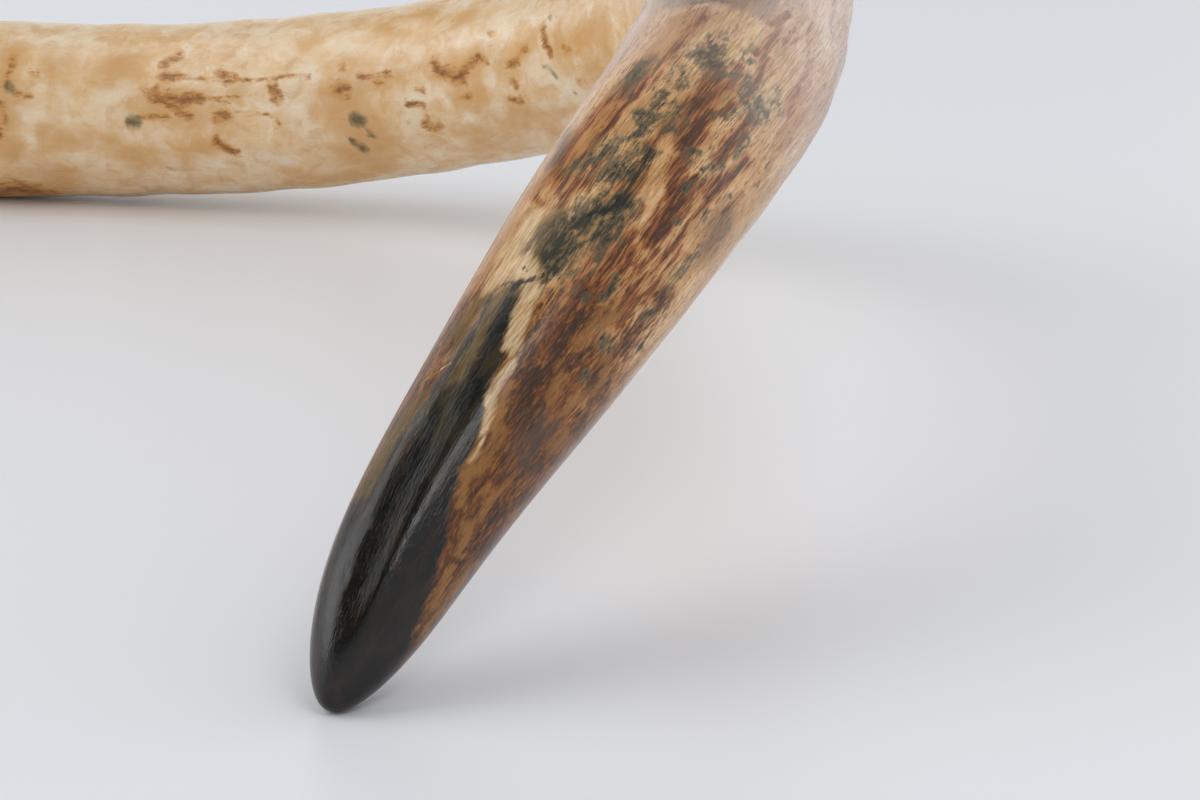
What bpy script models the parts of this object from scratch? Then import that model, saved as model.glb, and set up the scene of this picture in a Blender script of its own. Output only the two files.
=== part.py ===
"""A mammoth tusk: one long curl of ivory that rests on its tip and on its thick root half."""
import math

import bmesh
import bpy
import numpy as np

# The middle line, from the tip to the sawn root, in metres: it climbs from the
# tip, arches over, turns to the left and comes down along the ground.
ROUTE = (
    (0.350, -0.463, 0.0022),
    (0.371, -0.423, 0.0392),
    (0.403, -0.376, 0.0800),
    (0.442, -0.310, 0.1240),
    (0.478, -0.211, 0.1570),
    (0.492, -0.087, 0.1690),
    (0.499, 0.042, 0.1610),
    (0.481, 0.167, 0.1300),
    (0.413, 0.271, 0.0930),
    (0.298, 0.343, 0.0630),
    (0.147, 0.392, 0.0487),
    (-0.043, 0.413, 0.0502),
    (-0.269, 0.373, 0.0524),
    (-0.514, 0.256, 0.0552),
)

# Distance from the tip and the radius there.
THICKNESS = (
    (0.00, 0.0),
    (0.01, 0.0099),
    (0.04, 0.0190),
    (0.10, 0.0257),
    (0.21, 0.0344),
    (0.36, 0.0388),
    (0.56, 0.0412),
    (0.90, 0.0451),
    (1.32, 0.0496),
    (1.90, 0.0566),
)

# The section is a little wider across the curl than through it.
OVAL = 0.012
# Growth rings: swells around the tusk, and lengthwise flutes that wind slowly.
SWELLS = ((0.00030, 0.061, 0.4), (0.00022, 0.037, 1.9), (0.00035, 0.173, 2.6))
FLUTE_DEPTH = 0.0004
FLUTES = 7
FLUTE_TURN = 1.9

# Worn flats near the tip, each between two lengthwise ridges: its middle and half
# width around the tusk in degrees, where it starts and ends, and its depth.
FLATS = (
    (79.0, 17.0, 0.010, 0.150, 0.0012),
    (38.0, 19.0, 0.022, 0.190, 0.0008),
    (116.0, 17.0, 0.040, 0.200, 0.0006),
)

# The sawn root: a worn rim, a flat ring and the pulp hollow.
RIM_WEAR = 0.0025
HOLLOW_MOUTH = 0.0330
HOLLOW_DEPTH = 0.150

SIDES = 32
TIP_RINGS = 10
TIP_LENGTH = 0.085
BODY_STEP = 0.0150
HOLLOW_RINGS = 7


def clear_scene():
    for thing in list(bpy.data.objects):
        bpy.data.objects.remove(thing, do_unlink=True)


def spline(knots, values, where):
    """Smooth curve through values at knots, with free ends, read at where."""
    x = np.asarray(knots, float)
    y = np.asarray(values, float)
    if y.ndim == 1:
        y = y[:, None]
    n = len(x)
    h = np.diff(x)
    slope = np.diff(y, axis=0) / h[:, None]
    system = np.eye(n)
    right = np.zeros_like(y)
    for i in range(1, n - 1):
        system[i, i - 1] = h[i - 1]
        system[i, i] = 2.0 * (h[i - 1] + h[i])
        system[i, i + 1] = h[i]
        right[i] = 6.0 * (slope[i] - slope[i - 1])
    bend = np.linalg.solve(system, right)
    s = np.atleast_1d(np.asarray(where, float))
    k = np.clip(np.searchsorted(x, s) - 1, 0, n - 2)
    a = ((x[k + 1] - s) / h[k])[:, None]
    b = 1.0 - a
    curve = a * y[k] + b * y[k + 1]
    curve += ((a ** 3 - a) * bend[k] + (b ** 3 - b) * bend[k + 1]) * (h[k] ** 2)[:, None] / 6.0
    return curve


def route_knots():
    points = np.array(ROUTE)
    steps = np.linalg.norm(np.diff(points, axis=0), axis=1)
    return np.concatenate(([0.0], np.cumsum(steps))), points


def frame_at(s):
    """Middle point, direction, outer side and upper side at distances s from the tip."""
    knots, points = route_knots()
    middle = spline(knots, points, s)
    ahead = spline(knots, points, np.asarray(s) + 1e-4) - spline(knots, points, np.asarray(s) - 1e-4)
    ahead /= np.linalg.norm(ahead, axis=1)[:, None]
    outer = np.cross(ahead, np.array((0.0, 0.0, 1.0)))
    outer /= np.linalg.norm(outer, axis=1)[:, None]
    return middle, ahead, outer, np.cross(outer, ahead)


def thickness(s):
    """Radius at s. Read against the root of the distance, so that the tip is round."""
    table = np.array(THICKNESS)
    return spline(np.sqrt(table[:, 0]), table[:, 1], np.sqrt(s))[:, 0]


def ease(value, low, high):
    t = np.clip((value - low) / (high - low), 0.0, 1.0)
    return t * t * (3.0 - 2.0 * t)


def relief(s, turn):
    """Height of the low forms above the plain section, in metres."""
    height = np.zeros(np.broadcast(s, turn).shape)
    grown = ease(s, 0.10, 0.45)
    for depth, pitch, phase in SWELLS:
        height += grown * depth * np.sin(2.0 * math.pi * s / pitch + phase + 0.35 * np.sin(turn))
    winding = FLUTES * turn + FLUTE_TURN * s + 0.8 * np.sin(2.0 * turn)
    height += FLUTE_DEPTH * ease(s, 0.25, 0.80) * np.sin(winding)
    for middle, half, start, end, depth in FLATS:
        off = (turn - math.radians(middle) + math.pi) % (2.0 * math.pi) - math.pi
        across = np.clip(1.0 - (off / math.radians(half)) ** 2, 0.0, 1.0)
        along = ease(s, start, start + 0.03) * (1.0 - ease(s, end - 0.07, end))
        height -= depth * along * across ** 0.8
    return height


def skin(s, turn):
    """Point of the tusk's surface at distance s from the tip and angle turn around it."""
    s = np.asarray(s, float)
    middle, ahead, outer, upper = frame_at(s.ravel())
    radius = thickness(s.ravel()) * (1.0 + OVAL * np.cos(2.0 * turn.ravel()))
    radius = radius + relief(s.ravel(), turn.ravel()) * ease(s.ravel(), 0.0, 0.02)
    side = outer * np.cos(turn.ravel())[:, None] + upper * np.sin(turn.ravel())[:, None]
    return middle + side * radius[:, None]


def ring_distances():
    length = route_knots()[0][-1]
    near = np.linspace(0.03, math.sqrt(TIP_LENGTH), TIP_RINGS) ** 2
    count = int(round((length - TIP_LENGTH) / BODY_STEP))
    body = np.linspace(TIP_LENGTH, length, count + 1)[1:]
    return np.concatenate((near, body[:-1], [length - RIM_WEAR]))


def build_tusk():
    mesh = bpy.data.meshes.new("tusk")
    bm = bmesh.new()
    turn = np.arange(SIDES) * 2.0 * math.pi / SIDES
    rings = []
    for s in ring_distances():
        rings.append([bm.verts.new(p) for p in skin(np.full(SIDES, s), turn)])

    # The worn rim and the flat ring of the saw cut.
    length = route_knots()[0][-1]
    middle, ahead, outer, upper = frame_at(np.array([length]))
    side = outer * np.cos(turn)[:, None] + upper * np.sin(turn)[:, None]
    edge = skin(np.full(SIDES, length), turn)
    rings.append([bm.verts.new(p) for p in edge - side * RIM_WEAR])

    # The pulp hollow narrows to a rounded end inside the ivory.
    for k in range(HOLLOW_RINGS):
        part = k / HOLLOW_RINGS
        s = np.array([length - HOLLOW_DEPTH * part])
        middle, ahead, outer, upper = frame_at(s)
        side = outer * np.cos(turn)[:, None] + upper * np.sin(turn)[:, None]
        radius = HOLLOW_MOUTH * (1.0 - part) ** 0.85
        rings.append([bm.verts.new(p) for p in middle + side * radius])

    for ring, after in zip(rings, rings[1:]):
        for k in range(SIDES):
            n = (k + 1) % SIDES
            bm.faces.new((ring[k], ring[n], after[n], after[k]))
    tip = bm.verts.new(frame_at(np.array([0.0]))[0][0])
    hollow_end = bm.verts.new(frame_at(np.array([length - HOLLOW_DEPTH]))[0][0])
    for k in range(SIDES):
        n = (k + 1) % SIDES
        bm.faces.new((tip, rings[0][n], rings[0][k]))
        bm.faces.new((hollow_end, rings[-1][k], rings[-1][n]))
    bmesh.ops.recalc_face_normals(bm, faces=bm.faces)
    bm.to_mesh(mesh)
    bm.free()
    mesh.shade_smooth()
    mesh.set_sharp_from_angle(angle=math.radians(40.0))
    tusk = bpy.data.objects.new("tusk", mesh)
    bpy.context.scene.collection.objects.link(tusk)
    return tusk


def ivory():
    material = bpy.data.materials.new("polished old ivory")
    material.use_nodes = True
    shader = material.node_tree.nodes["Principled BSDF"]
    shader.inputs["Base Color"].default_value = (0.60, 0.42, 0.24, 1.0)
    shader.inputs["Roughness"].default_value = 0.32
    shader.inputs["Metallic"].default_value = 0.0
    return material


clear_scene()
tusk = build_tusk()
tusk.data.materials.append(ivory())
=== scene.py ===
import math

import bpy
import numpy as np
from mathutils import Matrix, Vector


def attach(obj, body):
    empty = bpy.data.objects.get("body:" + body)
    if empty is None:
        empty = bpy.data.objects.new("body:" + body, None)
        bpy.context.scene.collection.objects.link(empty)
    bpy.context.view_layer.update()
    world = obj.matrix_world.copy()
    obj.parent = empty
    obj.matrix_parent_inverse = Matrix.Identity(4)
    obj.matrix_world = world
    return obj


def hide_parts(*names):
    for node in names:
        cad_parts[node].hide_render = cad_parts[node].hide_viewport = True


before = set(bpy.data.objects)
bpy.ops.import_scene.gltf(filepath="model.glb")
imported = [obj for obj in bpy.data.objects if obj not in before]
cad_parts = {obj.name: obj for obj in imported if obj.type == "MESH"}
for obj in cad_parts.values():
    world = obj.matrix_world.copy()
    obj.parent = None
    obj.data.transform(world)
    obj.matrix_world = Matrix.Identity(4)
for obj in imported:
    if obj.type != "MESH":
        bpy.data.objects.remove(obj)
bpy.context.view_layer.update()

# The form is the same as the solid's.
# The middle line, from the tip to the sawn root, in metres.
ROUTE = (
    (0.350, -0.463, 0.0022),
    (0.371, -0.423, 0.0392),
    (0.403, -0.376, 0.0800),
    (0.442, -0.310, 0.1240),
    (0.478, -0.211, 0.1570),
    (0.492, -0.087, 0.1690),
    (0.499, 0.042, 0.1610),
    (0.481, 0.167, 0.1300),
    (0.413, 0.271, 0.0930),
    (0.298, 0.343, 0.0630),
    (0.147, 0.392, 0.0487),
    (-0.043, 0.413, 0.0502),
    (-0.269, 0.373, 0.0524),
    (-0.514, 0.256, 0.0552),
)
# Distance from the tip and radius there, in metres.
THICKNESS = (
    (0.00, 0.0),
    (0.01, 0.0099),
    (0.04, 0.0190),
    (0.10, 0.0257),
    (0.21, 0.0344),
    (0.36, 0.0388),
    (0.56, 0.0412),
    (0.90, 0.0451),
    (1.32, 0.0496),
    (1.90, 0.0566),
)
# The section is this share wider, and this share flatter, than round.
OVAL = 0.012
# Growth swells: height, pitch along the tusk and phase.
SWELLS = ((0.00030, 0.061, 0.4), (0.00022, 0.037, 1.9), (0.00035, 0.173, 2.6))
# Slow lengthwise flutes: depth, how many, and how far they turn in a metre.
FLUTE_DEPTH = 0.0004
FLUTES = 7
FLUTE_TURN = 1.9
# Worn flats near the tip: middle and half width in degrees, start, end and depth.
FLATS = (
    (79.0, 17.0, 0.010, 0.150, 0.0012),
    (38.0, 19.0, 0.022, 0.190, 0.0008),
    (116.0, 17.0, 0.040, 0.200, 0.0006),
)
# The sawn root: its worn rim, the hollow's mouth and depth, and the mouth's edge.
RIM_WEAR = 0.0025
HOLLOW_MOUTH = 0.0330
HOLLOW_DEPTH = 0.150
MOUTH_EDGE = 0.0006

# Dents and worn spots: distance from the tip, degrees around, half length and half
# width in metres, depth in metres (a minus sign raises), lean in degrees.
DENTS = (
    (0.0370, 100.0, 0.0032, 0.0011, 0.00045, 12.0),
    (0.0405, 96.0, 0.0016, 0.0008, 0.00035, 30.0),
    (0.0395, 103.0, 0.0020, 0.0008, -0.00018, 20.0),
    (0.0300, 92.0, 0.0022, 0.0012, 0.00022, 40.0),
    (0.0330, 84.0, 0.0012, 0.0012, 0.00022, 0.0),
    (0.0255, 96.0, 0.0012, 0.0007, 0.00018, 0.0),
    (0.0540, 97.0, 0.0022, 0.0010, 0.00035, 0.0),
    (0.0610, 78.0, 0.0034, 0.0003, 0.00012, 4.0),
    (0.0720, 111.0, 0.0075, 0.0024, 0.00012, 6.0),
    (0.0905, 95.0, 0.0052, 0.0022, 0.00034, 8.0),
    (0.0955, 92.0, 0.0036, 0.0012, -0.00016, 8.0),
    (0.0800, 93.0, 0.0060, 0.0011, 0.00014, 6.0),
    (0.1120, 86.0, 0.0042, 0.0010, 0.00022, 10.0),
    (0.1600, 350.0, 0.0022, 0.0012, 0.00060, 14.0),
    (0.2380, 79.0, 0.0016, 0.0011, 0.00040, 0.0),
    (1.0870, 180.0, 0.0040, 0.0030, 0.00050, 0.0),
    (0.9530, 205.0, 0.0035, 0.0042, 0.00050, 0.0),
)
# Cracks, and the raised lip along the first: height (a minus sign sinks), half width
# and the points they run through.
LIPS = (
    (0.00030, 0.0011, ((0.110, 116.0), (0.114, 108.0), (0.119, 99.0), (0.124, 93.0), (0.129, 89.0))),
    (-0.00022, 0.0008, ((0.109, 113.0), (0.1125, 107.0), (0.1175, 98.0), (0.1225, 92.0))),
    (-0.00020, 0.0007, ((1.25, 60.0), (1.36, 64.0), (1.50, 60.0), (1.66, 66.0), (1.80, 63.0))),
    (-0.00025, 0.0008, ((1.42, 205.0), (1.55, 200.0), (1.70, 206.0), (1.83, 202.0))),
    (-0.00020, 0.0007, ((1.56, 320.0), (1.68, 325.0), (1.83, 321.0))),
)

# Each stain: half width in millimetres, strength, and the points it runs through,
# in millimetres from the tip and degrees around.

# Clean cream runs beside and above the dark tip.
CREAM = (
    (5.0, 1.0, (149, 103), (156, 101), (166, 103), (176, 106)),
    (3.2, 1.2, (156, 94), (155, 88), (151, 80), (145, 75)),
    (2.4, 1.2, (145, 73), (138, 70), (132, 66), (126, 63)),
    (1.4, 1.1, (126, 62), (119, 58), (112, 56), (106, 53)),
    (1.1, 0.9, (106, 52), (100, 49), (94, 46), (86, 42)),
    (0.45, 0.9, (106, 128), (108, 120), (111, 110), (114, 98)),
    (4.6, 0.5, (274, 60), (286, 58), (297, 60)),
    (4.0, 0.5, (276, 82), (288, 76), (298, 70)),
    (4.0, 0.5, (268, 32), (285, 30), (298, 34)),
)
# Orange light under the polish, on the upper side.
ORANGE = (
    (6.0, 1.0, (114, 112), (126, 116), (142, 122), (168, 126)),
    (4.0, 1.0, (116, 102), (124, 104), (134, 112)),
    (6.0, 1.0, (196, 106), (208, 106), (222, 104), (236, 101)),
    (4.0, 0.8, (262, 97), (275, 95), (290, 97)),
    (2.6, 1.0, (97, 113), (103, 110)),
    (3.4, 0.9, (144, 29), (150, 27), (157, 23)),
    (4.4, 0.8, (150, 57), (160, 57), (170, 58)),
    (2.6, 0.7, (116, 67), (124, 69)),
    (3.4, 0.8, (228, 60), (245, 58), (258, 56)),
)
# Olive runs.
OLIVE = (
    (1.7, 1.2, (108, 88), (115, 90), (124, 88), (131, 91), (140, 90), (147, 87)),
    (1.6, 1.0, (120, 85), (128, 87), (135, 88)),
    (3.6, 1.0, (126, 108), (133, 110), (138, 106)),
    (3.4, 1.1, (68, 121), (78, 119), (90, 112), (99, 106)),
    (3.0, 0.8, (118, 98), (130, 100), (144, 101)),
    (3.0, 0.7, (160, 88), (172, 92), (180, 90)),
    (2.4, 0.9, (150, 88), (156, 85)),
)
# The black edge above the dark zone, the crack that ends it, and short black lines.
LINES = (
    (0.9, 1.0, (100, 96), (113, 95), (125, 93), (135, 95), (143, 98), (148, 93)),
    (1.0, 1.2, (144, 84), (148, 85), (150, 82), (151, 78)),
    (1.0, 1.0, (120, 82), (132, 81), (141, 82)),
    (0.5, 0.9, (160, 92), (163, 91)),
    (0.7, 1.0, (150, 72), (154, 73)),
    (0.6, 1.0, (150, 69), (153, 68)),
    (0.6, 0.9, (154, 86), (155, 88)),
    (1.0, 1.2, (180, 70), (183, 65), (186, 62), (195, 60), (208, 61), (214, 62)),
    (0.5, 0.9, (131, 57), (138, 57)),
    (0.9, 1.4, (159.5, -11), (161.5, -11.6)),
    (0.6, 1.0, (61, 8), (66, 5), (73, 3), (80, 1)),
)
# Grey-green stains.
GREEN = (
    (2.6, 1.1, (163, 94), (167, 91), (171, 89)),
    (4.6, 1.3, (158, 76), (167, 78), (174, 74), (180, 69)),
    (3.0, 1.3, (178, 68), (182, 66), (186, 61), (191, 60)),
    (3.0, 1.1, (174, 57), (180, 55), (185, 56)),
    (2.4, 1.0, (157, 68), (163, 68), (170, 69)),
    (3.4, 0.9, (160, 84), (168, 84), (176, 84)),
    (5.0, 0.8, (200, 94), (205, 88), (209, 84)),
    (4.4, 0.8, (196, 72), (204, 70), (210, 68)),
    (1.2, 1.0, (150, 75), (153, 75)),
    (0.8, 1.0, (126, 75), (131, 75), (136, 75)),
    (1.3, 0.8, (157, 36), (162, 35), (166, 35)),
    (0.9, 0.9, (152, 50), (153, 51)),
    (0.8, 0.8, (162, 49), (164, 50)),
    (0.9, 0.8, (151, 42), (153, 42)),
    (1.2, 0.8, (168, 51), (172, 53)),
    (1.2, 0.7, (196, 28), (199, 28)),
    (1.4, 0.8, (210, 33), (214, 33)),
    (1.8, 0.6, (209, 16), (213, 15)),
    (1.8, 0.7, (180, 5), (188, 4), (198, 4)),
    (1.5, 0.8, (145, 17), (149, 19)),
    (1.2, 0.7, (147, 10), (150, 9)),
    (1.2, 0.8, (132, 11), (134, 13)),
    (1.3, 0.8, (165, 4), (168, 3)),
    (1.6, 0.9, (218, 45), (223, 44), (225, 42)),
    (1.2, 0.8, (217, 31), (220, 32)),
    (1.4, 0.8, (222, 29), (229, 28)),
    (1.0, 1.0, (214, 79), (219, 78), (223, 79)),
    (1.2, 1.0, (222, 77), (225, 80), (228, 84)),
    (1.6, 1.1, (227, 82), (228, 76), (228, 72)),
    (1.5, 1.1, (231, 75), (236, 76), (241, 75)),
    (0.9, 1.0, (240, 79), (242, 80)),
    (1.1, 0.9, (218, 75), (225, 72), (234, 72)),
    (3.4, 0.6, (226, 64), (231, 62), (235, 66)),
    (3.4, 0.6, (243, 76), (248, 74), (254, 76)),
    (3.2, 1.1, (262, 66), (268, 67), (272, 70)),
    (2.4, 1.0, (264, 77), (267, 73), (266, 62)),
    (1.0, 0.9, (271, 72), (276, 73), (279, 76), (280, 80)),
    (1.8, 0.7, (274, 67), (278, 66), (283, 70)),
    (1.4, 0.8, (262, 54), (266, 48), (268, 44)),
    (1.6, 0.8, (274, 50), (277, 48)),
    (1.8, 0.9, (259, 42), (263, 43), (266, 42)),
    (1.8, 0.6, (278, 54), (284, 54)),
    (3.0, 1.0, (258, 33), (264, 31), (268, 32)),
    (1.8, 0.9, (252, 27), (258, 26), (264, 27)),
    (1.8, 0.7, (268, 28), (275, 26)),
    (1.4, 0.8, (237, 24), (243, 25), (247, 24)),
    (1.2, 0.7, (240, 46), (244, 44)),
    (1.4, 0.6, (244, 40), (252, 38)),
    (1.2, 0.7, (220, 11), (224, 11)),
    (1.4, 0.6, (270, 20), (274, 18)),
    (2.6, 0.9, (247, 101), (252, 100), (257, 101)),
    (1.4, 0.7, (236, 94), (238, 94)),
    (1.6, 0.7, (301, 98), (304, 88), (305, 78)),
    (6.0, 0.9, (205, 190), (222, 200), (230, 214)),
    (4.0, 0.8, (262, 168), (278, 176)),
    (5.0, 0.8, (330, 150), (350, 156)),
    (6.0, 0.8, (290, 260), (315, 268), (330, 262)),
    (3.0, 0.8, (190, 300), (204, 296)),
    (4.0, 0.7, (430, 40), (452, 52), (470, 50)),
)
# Red-brown streaks.
RED = (
    (1.6, 1.0, (118, 46), (135, 48), (150, 49), (157, 52), (168, 53), (176, 52)),
    (1.3, 0.9, (164, 50), (172, 49), (184, 49), (194, 49)),
    (2.0, 1.0, (132, 44), (152, 46), (165, 44), (173, 43), (182, 42)),
    (1.7, 1.0, (150, 39), (160, 39), (172, 38), (178, 37)),
    (1.0, 0.9, (160, 36), (170, 35), (176, 36)),
    (2.0, 1.4, (184, 34), (190, 36), (200, 36), (206, 36), (211, 34)),
    (1.5, 1.3, (182, 31), (193, 30), (205, 30), (215, 31)),
    (0.9, 0.9, (200, 40), (208, 41), (214, 42)),
    (1.1, 1.2, (157, 23), (166, 24), (176, 26), (184, 26)),
    (1.1, 0.9, (157, 21), (175, 20), (195, 20), (216, 21)),
    (0.9, 0.9, (165, 28), (175, 30), (182, 30)),
    (1.4, 1.0, (110, 17), (125, 17), (141, 18)),
    (1.1, 0.9, (118, 12), (130, 13), (142, 12)),
    (2.0, 0.7, (156, 17), (166, 16), (176, 14), (192, 12)),
    (1.7, 1.3, (205, 42), (212, 44), (220, 47), (229, 48), (236, 49)),
    (0.9, 1.0, (224, 46), (234, 46), (246, 45)),
    (1.1, 1.2, (181, 91), (187, 89), (196, 88), (201, 88)),
    (1.0, 1.2, (157, 92), (162, 92), (167, 92)),
    (1.1, 1.3, (186, 95), (196, 97), (208, 96), (218, 94), (228, 93)),
    (1.1, 1.2, (228, 93), (236, 90), (250, 89), (262, 89)),
    (1.0, 1.1, (262, 89), (275, 89), (286, 88), (299, 86)),
    (0.9, 0.9, (255, 84), (266, 85), (280, 86), (290, 84)),
    (3.0, 0.8, (194, 103), (200, 108), (212, 112), (224, 108), (236, 106)),
    (1.8, 1.0, (203, 114), (210, 114)),
    (3.0, 0.8, (237, 98), (246, 100), (257, 99)),
    (1.2, 0.8, (181, 104), (183, 110), (185, 113)),
    (2.4, 0.8, (190, 84), (198, 82), (206, 82)),
    (1.4, 0.9, (183, 66), (194, 64), (206, 64)),
    (1.4, 0.9, (186, 58), (196, 58), (206, 58)),
    (1.0, 0.9, (212, 67), (219, 67), (225, 66)),
    (1.0, 0.9, (212, 63), (222, 64), (230, 64)),
    (3.2, 1.1, (224, 52), (232, 54), (240, 55), (250, 55)),
    (1.5, 1.2, (235, 60), (246, 62), (256, 62), (263, 62)),
    (1.4, 1.2, (226, 57), (238, 59), (250, 59), (260, 58)),
    (1.5, 1.2, (220, 50), (230, 51), (242, 49)),
    (2.4, 0.8, (252, 52), (262, 50), (268, 52)),
    (0.9, 1.1, (244, 43), (254, 42), (264, 41)),
    (1.3, 1.3, (262, 41), (272, 41), (278, 42), (284, 45)),
    (1.3, 1.2, (282, 49), (292, 48), (304, 49), (316, 49)),
    (1.1, 0.8, (300, 54), (306, 50), (318, 46)),
    (1.8, 1.3, (228, 31), (238, 30), (246, 28), (254, 30)),
    (1.2, 1.1, (214, 24), (224, 22), (234, 20)),
    (1.7, 1.0, (219, 18), (229, 18), (242, 17)),
    (1.3, 0.8, (205, 22), (212, 18)),
    (1.1, 0.8, (218, 5), (225, 4), (231, 4)),
    (1.2, 0.7, (262, 1), (270, 2), (275, 1)),
    (2.0, 0.9, (277, 15), (283, 17), (288, 16)),
    (1.1, 0.8, (287, 19), (294, 21), (306, 23)),
    (1.0, 0.7, (271, 11), (280, 12)),
    (1.4, 0.8, (312, 30), (320, 32), (327, 34)),
    (1.0, 0.8, (282, 78), (290, 78), (294, 79)),
    (1.2, 0.7, (298, 42), (306, 36), (312, 38)),
    (1.6, 0.9, (340, 20), (360, 26), (392, 34)),
    (1.6, 0.9, (336, 62), (360, 70), (384, 72)),
    (2.0, 0.9, (330, 88), (352, 92), (378, 90)),
    (1.5, 0.8, (352, 110), (380, 116), (410, 118)),
    (1.8, 0.8, (390, 60), (420, 66), (452, 70)),
)
# Soft grey brown veils.
GREY = (
    (6.0, 1.0, (309, 104), (310, 90), (311, 76), (316, 66)),
    (8.0, 1.0, (324, 112), (325, 90), (326, 70)),
    (3.6, 0.8, (304, 58), (312, 57), (322, 60)),
    (4.4, 0.8, (204, 0), (212, 2), (220, 0)),
    (3.4, 0.8, (242, 102), (250, 99), (258, 98)),
    (3.0, 0.7, (205, 118), (216, 122), (224, 126)),
    (5.0, 0.7, (100, 8), (106, 12), (112, 10)),
)
# Brown mottle of the lower arm.
BROWN = (
    (4.0, 0.9, (152, 3), (164, 2), (176, 2)),
    (4.6, 1.2, (46, 24), (56, 30), (64, 36), (70, 42)),
    (3.0, 1.1, (28, 20), (40, 16), (54, 14)),
    (4.0, 1.0, (30, 0), (42, -1), (60, -3), (78, -5)),
    (5.0, 1.2, (102, 30), (108, 34), (114, 38), (120, 46)),
    (5.6, 1.2, (102, 8), (107, 16), (112, 28), (118, 34)),
    (3.4, 1.2, (118, 42), (128, 38), (140, 37), (152, 38)),
    (3.4, 1.0, (116, 28), (128, 26), (140, 24)),
    (3.0, 1.0, (116, 50), (122, 52), (129, 48)),
    (4.4, 1.0, (103, -6), (108, 2)),
    (1.6, 1.0, (84, 15), (88, 14)),
    (2.2, 0.9, (74, 22), (84, 24), (96, 22)),
    (1.2, 1.1, (90, 41), (94, 42)),
    (2.8, 0.8, (86, 2), (94, 0), (102, 4)),
    (2.6, 0.8, (132, 6), (140, 8), (148, 4)),
    (2.4, 0.9, (146, 36), (152, 45), (156, 50)),
    (2.6, 1.0, (100, 103), (104, 108), (108, 112)),
    (3.4, 0.8, (104, 122), (122, 124), (140, 128)),
)
# Tan windows in it.
TAN = (
    (2.2, 1.2, (38, 6), (46, 6), (54, 6)),
    (2.4, 1.3, (60, 8), (65, 12), (68, 15)),
    (1.5, 1.0, (66, 19), (69, 20)),
    (2.6, 1.1, (72, 30), (77, 35), (84, 39), (90, 43)),
    (2.6, 0.9, (86, 32), (94, 34), (100, 36)),
    (2.0, 1.0, (99, 42), (106, 44), (114, 50)),
    (0.8, 0.9, (19, 19), (24, 15), (30, 9), (34, 4)),
    (4.6, 1.0, (34, -10), (44, -9), (56, -12)),
    (2.0, 1.2, (121, 21), (124, 22), (127, 23)),
    (3.0, 1.1, (110, -4), (116, -7)),
    (2.0, 0.9, (119, 3), (126, 6), (132, 2)),
    (2.0, 0.9, (116, 12), (120, 8)),
    (1.6, 0.9, (71, 14), (80, 11), (90, 8)),
    (1.6, 0.8, (76, 18), (84, 19)),
    (3.0, 1.0, (141, 30), (148, 28), (156, 22)),
    (2.2, 0.9, (134, -2), (140, 0), (146, 14)),
    (1.3, 0.9, (74, 92), (80, 92), (84, 91)),
)
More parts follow.
